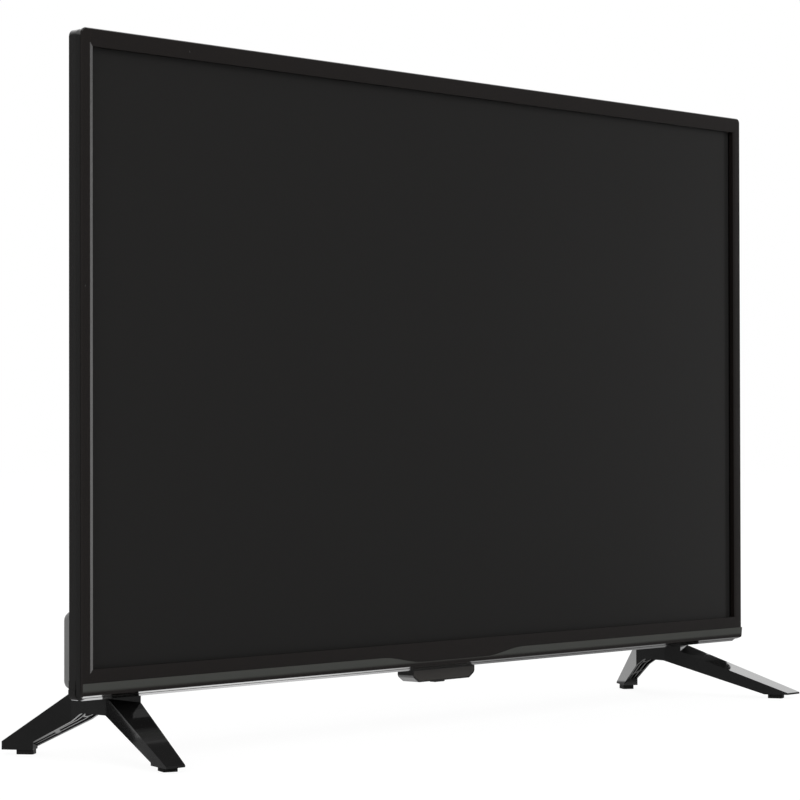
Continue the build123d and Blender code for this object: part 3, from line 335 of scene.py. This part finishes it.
def moulded_black(f):
    etched = f.part(1).above(rim_end, rim_softness)
    grain = f.noise(0.0009, roughness=0.6)
    rubbed = f.noise(0.09)
    polish = f.noise(0.05, detail=2.0)
    rough = rubbed.ease(0.36, 0.5) + grain.ease(-0.05, 0.05)
    smooth = polish.ease(0.07, 0.12)
    return {
        "Base Color": f.blend(grain, grey(0.006, warmth=0.05), grey(0.013, warmth=0.02)),
        "Roughness": smooth + etched * (rough - smooth),
        "Normal": f.bump(grain * etched, depth=0.00003),
    }


dress(finish(moulded_black, Specular_IOR_Level=0.5), "rear_cover")

# %% [markdown]
# The sensor tab and its key are small mouldings with a satin surface, a little duller than
# the rim so that fingerprints don't show where people reach for the key. The mains inlet, the
# audio socket and the frame that holds the panel are moulded in the same plastic.

# %% Tab finish
def satin_black(f):
    grain = f.noise(0.0006, roughness=0.6)
    touch = f.noise(0.012, detail=2.0)
    return {
        "Base Color": f.blend(grain, grey(0.013, warmth=0.04), grey(0.021, warmth=0.03)),
        "Roughness": touch.ease(0.14, 0.24) + grain.ease(-0.02, 0.02),
        "Normal": f.bump(grain, depth=0.000008),
    }


satin_finish = finish(satin_black, Specular_IOR_Level=0.5)
dress(satin_finish, "sensor_housing", "power_key", "mains_inlet", "audio_jack", "panel_frame")

# %% [markdown]
# The legs are moulded in one piece each and polished on the outside, so they mirror the
# underside of the set and the floor. Their undersides keep the dull surface of the mould.
# The mask for the dull part is the direction that the surface faces.

# %% Leg finish
mould_dullness = 0.3


def polished_leg(f):
    below = (f.facing(2) * -1).above(0.5, 0.2)
    haze = f.noise(0.04, detail=2.0)
    flow = f.noise(0.006, detail=2.0, place=f.stretch((1.0, 0.3, 1.0)))
    return {
        "Base Color": f.blend(haze, grey(0.005), grey(0.009)),
        "Roughness": haze.ease(0.05, 0.1) + below * mould_dullness,
        "Normal": f.bump(flow, depth=0.000006),
    }


dress(finish(polished_leg, Specular_IOR_Level=0.6), "stand_left", "stand_right")

# %% [markdown]
# The pads under the feet and the loudspeakers' gaskets are rubber: dark, dull and slightly
# dusty, with fine pores.

# %% Rubber finish
def dull_rubber(f):
    dust = f.noise(0.004, detail=4.0, roughness=0.7)
    pores = f.cells(0.0006)
    return {
        "Base Color": f.blend(dust, grey(0.006), grey(0.022, warmth=0.05)),
        "Roughness": dust.ease(0.65, 0.9),
        "Normal": f.bump(pores, depth=0.00003),
    }


dress(finish(dull_rubber, Specular_IOR_Level=0.3), "foot_pads", "speaker_gaskets")

# %% [markdown]
# The tab's window is smoked plastic that lets the remote control's light through. It reads as
# a warm dark brown. A real see-through plastic would only show the dark inside of the tab, so
# an opaque tint with a smooth surface gives the same look and bakes without trouble.

# %% Window finish
def smoked(f):
    streak = f.noise(0.012, detail=2.0, place=f.stretch((0.4, 1.0, 1.0)))
    return grained(streak, grey(0.038, warmth=0.08), grey(0.052, warmth=0.06), rough=(0.12, 0.2))


dress(finish(smoked, Specular_IOR_Level=0.4), "sensor_window")

# %% [markdown]
# Sheet steel is coated with zinc, which freezes in flat crystals that catch light differently.
# Cells with a random colour each, mixed in thinly, are that spangle. Turned posts and screws
# carry fine grooves instead, and the black screws are worn bare in small patches.

# %% Steel finishes
zinc = grey(0.52)
smeared_zinc = grey(0.4)
spangle_share = 0.16
smear_share = 0.3


def spangled(f):
    crystal = f.cells(0.009, output="Color")
    smear = f.noise(0.02)
    return {
        "Base Color": f.blend(smear * smear_share, f.blend(spangle_share, zinc, crystal), smeared_zinc),
        "Roughness": smear.ease(0.28, 0.42),
    }


def turned_steel(f):
    groove = f.noise(0.0009, detail=2.0, place=f.stretch((1.0, 9.0, 1.0)))
    return grained(groove, grey(0.42), grey(0.58), rough=(0.22, 0.36), relief=0.00001)


def black_zinc(f):
    wear = f.noise(0.0012).above(0.62, 0.08)
    return grained(wear, grey(0.02), grey(0.2), rough=(0.34, 0.26))


dress(finish(spangled, Metallic=1.0), "backlight_pan", "tuner_can", "hdmi_sockets", "usb_socket")
steel_finish = finish(turned_steel, Metallic=1.0)
dress(steel_finish, "board_standoffs", "board_screws", "vesa_posts", "cover_posts")
dress(finish(black_zinc, Metallic=0.6), "cover_screws", "stand_screws")

# %% [markdown]
# Inside the set the backlight is all white. None of it shows while the set is closed, yet each
# kind of piece has its own surface: films and diffuser are satin with fine ridges, the
# reflector is foamed with a fine tooth, and the strips are pale boards with smooth lenses.

# %% Backlight finishes
def satin_film(f):
    ridge = f.noise(0.0004, detail=1.0, place=f.stretch((1.0, 1.0, 12.0)))
    return grained(ridge, grey(0.72), grey(0.82), rough=(0.25, 0.4), relief=0.00001)


def foamed_white(f):
    tooth = f.noise(0.0008)
    return grained(tooth, grey(0.78), grey(0.86), rough=(0.7, 0.85), relief=0.00002)


def strip_board(f):
    pad = f.cells(0.006).above(0.3, 0.03)
    return grained(pad, grey(0.5, warmth=0.2), grey(0.72), rough=(0.35, 0.55))


def clear_lens(f):
    swirl = f.noise(0.003, detail=2.0)
    return grained(swirl, grey(0.7), grey(0.86), rough=(0.05, 0.12))


dress(finish(satin_film), "optical_films", "diffuser_plate")
dress(finish(foamed_white), "reflector_sheet")
dress(finish(strip_board), "light_strips")
dress(finish(clear_lens), "strip_lenses")

# %% [markdown]
# Circuit boards are green lacquer over copper. Copper shows through as slightly lighter
# tracks, which run straight and turn square, so a brick pattern stands for them better than
# noise does: the mortar between the bricks is the copper.

# %% Board finish
track_length = 0.011
track_pitch = 0.0037
track_half = 0.0005
track_share = 0.6
dark_lacquer = (0.008, 0.06, 0.022, 1.0)
light_lacquer = (0.012, 0.085, 0.03, 1.0)
copper_under_lacquer = (0.04, 0.2, 0.08, 1.0)


def lacquered_board(f):
    flat = f.add("ShaderNodeCombineXYZ", None, {0: f.part(0), 1: f.part(2) + f.part(1)})
    settings = {"offset": 0.37, "squash": 0.6, "squash_frequency": 3}
    values = {
        "Vector": flat,
        "Scale": 1.0,
        "Mortar Size": track_half,
        "Mortar Smooth": 0.1,
        "Brick Width": track_length,
        "Row Height": track_pitch,
    }
    track = f.add("ShaderNodeTexBrick", settings, values, 1)
    blotch = f.noise(0.02, detail=2.0)
    lacquer = f.blend(blotch, dark_lacquer, light_lacquer)
    return {
        "Base Color": f.blend(track * track_share, lacquer, copper_under_lacquer),
        "Roughness": blotch.ease(0.25, 0.38),
        "Normal": f.bump(track, depth=0.00003),
    }


dress(finish(lacquered_board), "main_board", "power_board", "sensor_board")

# %% [markdown]
# Chips, switch and receiver are black moulding resin with a fine tooth. The heat sink is drawn
# aluminium: lines run along the draw, so its noise is stretched that way. Contacts are turned
# brass, whose grooves run round, so their noise is squeezed along the contacts' length.

# %% Finishes of chips, heat sink and contacts
dark_brass = (0.5, 0.34, 0.12, 1.0)
light_brass = (0.66, 0.47, 0.2, 1.0)


def chip_resin(f):
    tooth = f.noise(0.0005)
    return grained(tooth, grey(0.014), grey(0.026), rough=(0.5, 0.65), relief=0.00001)


def drawn_aluminium(f):
    line = f.noise(0.0008, detail=2.0, place=f.stretch((1.0, 1.0, 0.05)))
    return grained(line, grey(0.5), grey(0.62), rough=(0.3, 0.42), relief=0.00002)


def turned_brass(f):
    groove = f.noise(0.0006, detail=2.0, place=f.stretch((8.0, 1.0, 1.0)))
    return grained(groove, dark_brass, light_brass, rough=(0.2, 0.34))


dress(finish(chip_resin), "main_chip", "key_switch", "remote_receiver")
dress(finish(drawn_aluminium, Metallic=1.0), "heat_sink")
dress(finish(turned_brass, Metallic=1.0), "aerial_socket", "inlet_pins")

# %% [markdown]
# Plugs are milky nylon. Coils are wound with varnished copper wire: noise that is squeezed
# along the coil gives its turns, with dark gaps and a strong relief. A capacitor wears a dark
# printed sleeve, and a sharp mask on large noise stands for the pale print.

# %% Finishes of plugs, coils and capacitors
varnish = (0.03, 0.02, 0.012, 1.0)
copper_wire = (0.2, 0.12, 0.03, 1.0)
sleeve_blue = (0.012, 0.014, 0.03, 1.0)


def milky_nylon(f):
    cloud = f.noise(0.004)
    return grained(cloud, grey(0.6, warmth=0.03), grey(0.7, warmth=0.05), rough=(0.4, 0.5))


def wound_core(f):
    turns = f.noise(0.0012, detail=1.0, place=f.stretch((0.3, 6.0, 0.3)))
    return grained(turns, varnish, copper_wire, rough=(0.35, 0.6), relief=0.00008)


def shrink_sleeve(f):
    stripe = f.noise(0.02, detail=0.0).above(0.55, 0.01)
    return grained(stripe, sleeve_blue, grey(0.3), rough=(0.3, 0.4))


dress(finish(milky_nylon), "board_headers")
dress(finish(wound_core), "transformer", "mains_choke")
dress(finish(shrink_sleeve), "capacitors")

# %% [markdown]
# A loudspeaker has a pressed steel basket, painted black, and a cone of pressed fibre, which
# is very dull. Finer detail in the noise and a deeper relief make it look fibrous.

# %% Loudspeaker finishes
fibre_dark = grey(0.02, warmth=0.1)
fibre_light = grey(0.07, warmth=0.08)


def basket_paint(f):
    drip = f.noise(0.005)
    return grained(drip, grey(0.02), grey(0.035), rough=(0.3, 0.5))


def pressed_fibre(f):
    fibre = f.noise(0.0007, detail=4.0, roughness=0.7)
    return grained(fibre, fibre_dark, fibre_light, rough=(0.8, 0.95), relief=0.00006)


dress(finish(basket_paint), "speaker_left", "speaker_right")
dress(finish(pressed_fibre), "speaker_cones")

# %% [markdown]
# The studio is a wide white floor, which keeps the set's soft shadow, under a white room. The
# floor is one flat square with its middle below the set.

# %% Floor
floor_half = 12.0
floor_mesh = bpy.data.meshes.new("floor")
corners = [(x * floor_half, y * floor_half, 0.0) for x, y in ((-1, -1), (1, -1), (1, 1), (-1, 1))]
floor_mesh.from_pydata(corners, [], [(0, 1, 2, 3)])
floor = bpy.data.objects.new("floor", floor_mesh)
bpy.context.scene.collection.objects.link(floor)
print("floor:", 2 * floor_half, "m square")

# %% [markdown]
# Floor and room have to look one way to the camera and another way in mirror images. Light
# Path tells a material which kind of ray has reached it, so a mask can be made of that. Bands
# on the floor are masks too, on the distance from their middle.

# %% Helpers for rays and bands
ray_kinds = ("Is Camera Ray", "Is Glossy Ray", "Is Transmission Ray")


def ray_masks(f):
    """One mask for rays from the camera, one for mirror images, one for clear plastic."""
    return [f.add("ShaderNodeLightPath", output=kind) for kind in ray_kinds]


def outside(f, axis, middle, half, softness):
    """Nought within a band round the middle, one outside it."""
    return abs(f.part(axis) - middle).above(half, softness)


print("rays told apart:", ", ".join(ray_kinds))

# %% [markdown]
# Black gloss shows whatever stands round it, so the floor is staged for mirror images. Only the
# strip of paper right under the set glows in them, most of all at the left, where the light
# comes in. The floor round the strip stays dark, which keeps the polished legs black.

# %% What mirrors see of the floor
bright_level = 2.0
dim_level = 0.5
dark_level = 0.2
dimming_edge = (0.0, 0.15)

# each band has a middle, half its width and a softness, in metres
strip_sideways = (0.065, 0.39, 0.02)
strip_depthways = (0.03, 0.035, 0.012)

floor_material = bpy.data.materials.new("white_paper")
floor_material.use_nodes = True
paper = Formula(floor_material.node_tree)
off_strip = outside(paper, 0, *strip_sideways).either(outside(paper, 1, *strip_depthways))
dimmed = paper.part(0).above(*dimming_edge)
lit_strip = paper.blend(dimmed, grey(bright_level), grey(dim_level))
in_mirrors = paper.blend(off_strip, lit_strip, grey(dark_level))
print("floor in mirrors: strip", bright_level, "to", dim_level, "and round it", dark_level)

# %% [markdown]
# The paper is part painted white, part glowing for the camera and for mirror images only, so
# it reads as white without sending any more light onto the set, and the painted part keeps
# the soft shadow. Far in front and far behind, the floor is clear in mirror images, where it
# gives way to the room.

# %% Floor paper
glow_share = 0.86
glow_level = 1.07
near_depthways = (-0.08, 0.22, 0.01)

tooth = paper.noise(0.004)
paint = paper.add("ShaderNodeBsdfDiffuse", None, {"Color": paper.blend(tooth, grey(0.93), grey(0.97))})
camera_ray, glossy_ray, clear_ray = ray_masks(paper)
glow_colour = paper.blend(glossy_ray, grey(glow_level), in_mirrors)
glow = paper.add("ShaderNodeEmission", None, {"Color": glow_colour, "Strength": 1.0})
glow_factor = camera_ray.either(clear_ray) * glow_share + glossy_ray
sheet = paper.add("ShaderNodeMixShader", None, {0: glow_factor, 1: paint, 2: glow})
cleared = outside(paper, 1, *near_depthways) * glossy_ray
nothing = paper.add("ShaderNodeBsdfTransparent")
surface = paper.add("ShaderNodeMixShader", None, {0: cleared, 1: sheet, 2: nothing})
paper.add("ShaderNodeOutputMaterial", None, {"Surface": surface})
floor_mesh.materials.append(floor_material)
print("floor paper for the camera: glow", glow_level, "in a share of", glow_share)

# %% [markdown]
# The room is white wherever the camera looks at it. Black gloss shows a room far more than it
# shows light, and in a real studio only the soft boxes and the lit backdrop are bright. So in
# mirror images the room is dim in front and at the left, and bright behind the set at the
# right, most of all high up. Above it is white, and a bright patch straight to the right draws
# the thin light line on the bezel's inner lip. The masks read the direction of the ray in
# space, which is what a world's Generated coordinate holds, so they stay where they are when
# the camera moves.

# %% What mirrors see of the room
front_level = 0.2
front_left_level = 0.25
left_level = 0.2
backdrop_low_level = 1.1
backdrop_high_level = 2.2
ceiling_level = 1.2
patch_level = 2.2

# each mask has an edge and a softness, as parts of a ray of length one
behind_edge = (0.1, 0.3)
front_right_edge = (0.2, 0.3)
backdrop_edge = (-0.05, 0.25)
backdrop_height = (0.25, 0.15)
patch_edge = (0.852, 0.012)
ceiling_edge = (0.55, 0.2)

world = bpy.data.worlds.new("room")
bpy.context.scene.world = world
world.use_nodes = True
room = Formula(world.node_tree)
ray = room.add("ShaderNodeTexCoord", output="Generated")
ray_right, ray_back, ray_up = (
    room.add("ShaderNodeSeparateXYZ", None, {0: ray}, axis) for axis in range(3)
)
behind = ray_back.above(*behind_edge)
in_front = 1 - behind
backdrop = behind * ray_right.above(*backdrop_edge)
left_wall = behind * (1 - backdrop)
front_wall = ray_right.above(*front_right_edge).ease(front_left_level, front_level) * in_front
backdrop_level = ray_up.above(*backdrop_height).ease(backdrop_low_level, backdrop_high_level)
patch = ray_right.above(*patch_edge) * in_front
ceiling = ray_up.above(*ceiling_edge) * (1 - backdrop)
walls = front_wall + left_wall * left_level
mirrored = walls + backdrop * backdrop_level + patch * patch_level + ceiling * ceiling_level
print("room in mirrors: from", front_level, "in front to", backdrop_high_level, "behind")

# %% [markdown]
# The same world has three looks: the one above for mirror images, plain white for the camera
# and for rays through clear plastic, and an even soft light for everything that the set's
# surfaces scatter. Each Mix chooses by one kind of ray.

# %% Room
room_level = 0.62

camera_ray, glossy_ray, clear_ray = ray_masks(room)
mirrored_grey = room.add("ShaderNodeCombineXYZ", None, {0: mirrored, 1: mirrored, 2: mirrored})
lit = room.blend(glossy_ray, grey(room_level), mirrored_grey)
seen = room.blend(camera_ray, lit, grey(1.0))
through = room.blend(clear_ray, seen, grey(1.0))
sky = room.add("ShaderNodeBackground", None, {"Color": through, "Strength": 1.0})
room.add("ShaderNodeOutputWorld", None, {"Surface": sky})
print("room lights the set at", room_level, "and is white for the camera")

# %% [markdown]
# Three large soft lamps do the modelling: one high in front, one from the left and one behind.
# They are kept out of mirror images, where a lamp would leave a hard white patch.

# %% Lamps
aim = Vector((0.0, 0.0, 0.25))


def soft_lamp(name, place, size, watts):
    """A square area lamp that is turned towards the middle of the screen."""
    data = bpy.data.lights.new(name, "AREA")
    data.size = size
    data.energy = watts
    lamp = bpy.data.objects.new(name, data)
    lamp.location = place
    lamp.rotation_euler = (aim - Vector(place)).to_track_quat("-Z", "Y").to_euler()
    lamp.visible_glossy = False
    bpy.context.scene.collection.objects.link(lamp)
    print(name, watts, "W")


soft_lamp("lamp_front", place=(-0.6, -2.4, 2.2), size=1.8, watts=26.0)
soft_lamp("lamp_left", place=(-2.6, -0.4, 1.3), size=1.6, watts=16.0)
soft_lamp("lamp_back", place=(1.2, 2.4, 1.9), size=1.8, watts=22.0)

# %% [markdown]
# Dressing gives the pieces finishes only, so the set keeps its size.

# %% Close
print("the set is dressed and lit")
